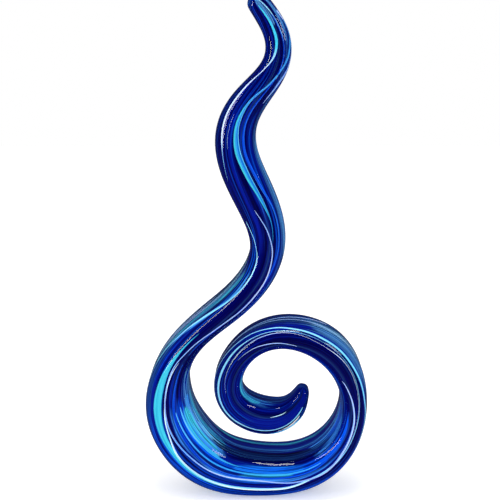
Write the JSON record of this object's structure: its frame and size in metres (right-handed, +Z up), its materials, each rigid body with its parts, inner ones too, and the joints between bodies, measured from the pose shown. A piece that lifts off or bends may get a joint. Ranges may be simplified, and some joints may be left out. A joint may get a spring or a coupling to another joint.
{
  "type": "glass wave sculpture",
  "caption": "Solid glass ornament: a layered blue rope of clear-cased glass rising from a spiral coil into a tapering, waving spire.",
  "frame": {"origin": "middle of the flat ground foot under the coil, on the surface it rests on", "axes": "+Z up along the spire, +X to the viewer's right across the coil, -Y towards the viewer, so the coil lies in the XZ plane"},
  "size_m": [0.1605, 0.0532, 0.3588],
  "materials": {
    "clear_glass": "polished, clear",
    "cobalt_glass": "polished, deep cobalt, all but opaque",
    "slate_glass": "polished, translucent slate blue",
    "aqua_glass": "polished, translucent cyan",
    "royal_glass": "polished, royal blue",
    "white_glass": "polished, lilac white",
    "sky_glass": "polished, sky blue"
  },
  "bodies": {
    "root": {"clear_casing": "clear_glass", "cobalt_core": "cobalt_glass", "pale_core": "slate_glass", "aqua_ribbon": "aqua_glass", "royal_ribbon": "royal_glass", "ridge_thread": "white_glass", "inner_ribbon": "sky_glass", "crest_ribbon": "sky_glass", "trough_streaks": "royal_glass", "veil_streaks": "white_glass"}
  },
  "joints": []
}
